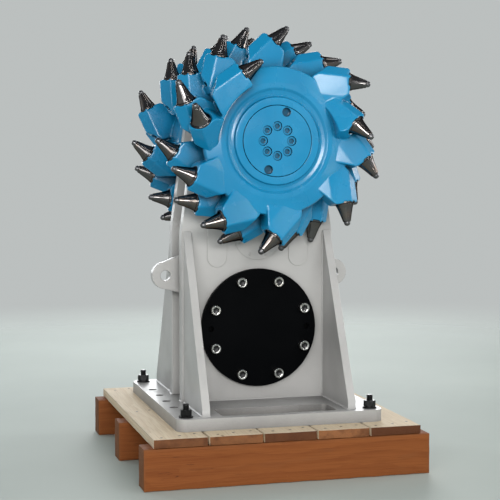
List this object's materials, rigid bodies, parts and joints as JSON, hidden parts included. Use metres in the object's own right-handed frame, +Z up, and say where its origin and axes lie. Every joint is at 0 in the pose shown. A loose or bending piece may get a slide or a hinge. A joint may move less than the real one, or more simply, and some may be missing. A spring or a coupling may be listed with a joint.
{
  "type": "double-drum milling head for an excavator",
  "caption": "Transverse milling head with two picked cutting drums on one cross shaft, upside down on its mounting flange and bolted to a timber pallet.",
  "frame": {"origin": "on the floor under the middle of the pallet", "axes": "+Z up, +Y along the drum shaft towards the rear drum, +X to the right seen from the front"},
  "size_m": [0.812, 0.83, 1.2543],
  "materials": {
    "case_paint": "semi-gloss light grey enamel",
    "drum_paint": "glossy sky blue enamel",
    "cover_black": "gloss black enamel",
    "zinc_bolts": "bright zinc plate",
    "black_bolts": "black oxide",
    "pick_steel": "polished dark tool steel",
    "shaft_steel": "ground steel",
    "motor_casting": "cast, painted",
    "bearer_timber": "reddish sawn timber",
    "deck_timber": "pale sawn pine"
  },
  "bodies": {
    "head": {"case_pads_front": "case_paint", "case_pads_rear": "case_paint", "case_plate_front": "case_paint", "case_plate_rear": "case_paint", "case_shell": "case_paint", "cover_bolts_front": "zinc_bolts", "cover_bolts_rear": "zinc_bolts", "gusset_front_left": "case_paint", "gusset_front_right": "case_paint", "gusset_rear_left": "case_paint", "gusset_rear_right": "case_paint", "hold_down_bolts": "black_bolts", "hydraulic_motor": "motor_casting", "idler_cap_front": "case_paint", "idler_cap_rear": "case_paint", "idler_screws_front": "zinc_bolts", "idler_screws_rear": "zinc_bolts", "lifting_lug_left": "case_paint", "lifting_lug_right": "case_paint", "motor_cover_front": "cover_black", "motor_cover_rear": "cover_black", "mounting_flange": "case_paint", "pallet_bearers": "bearer_timber", "pallet_deck": "deck_timber", "shaft_bearing_front": "case_paint", "shaft_bearing_rear": "case_paint", "side_ports_left": "case_paint", "side_ports_right": "case_paint"},
    "rotor": {"drum_body_front": "drum_paint", "drum_body_rear": "drum_paint", "drum_shaft": "shaft_steel", "hub_cap_front": "drum_paint", "hub_cap_rear": "drum_paint", "hub_screws_front": "drum_paint", "hub_screws_rear": "drum_paint", "pick_holders_front_face": "drum_paint", "pick_holders_front_inner": "drum_paint", "pick_holders_front_middle": "drum_paint", "pick_holders_front_outer": "drum_paint", "pick_holders_rear_face": "drum_paint", "pick_holders_rear_inner": "drum_paint", "pick_holders_rear_middle": "drum_paint", "pick_holders_rear_outer": "drum_paint", "picks_front_face": "pick_steel", "picks_front_inner": "pick_steel", "picks_front_middle": "pick_steel", "picks_front_outer": "pick_steel", "picks_rear_face": "pick_steel", "picks_rear_inner": "pick_steel", "picks_rear_middle": "pick_steel", "picks_rear_outer": "pick_steel"}
  },
  "joints": [
    {"name": "drum_spin", "type": "hinge", "parent": "head", "child": "rotor", "pos_m": [0, 0, 0.927], "axis": [0, 1, 0], "continuous": true}
  ]
}
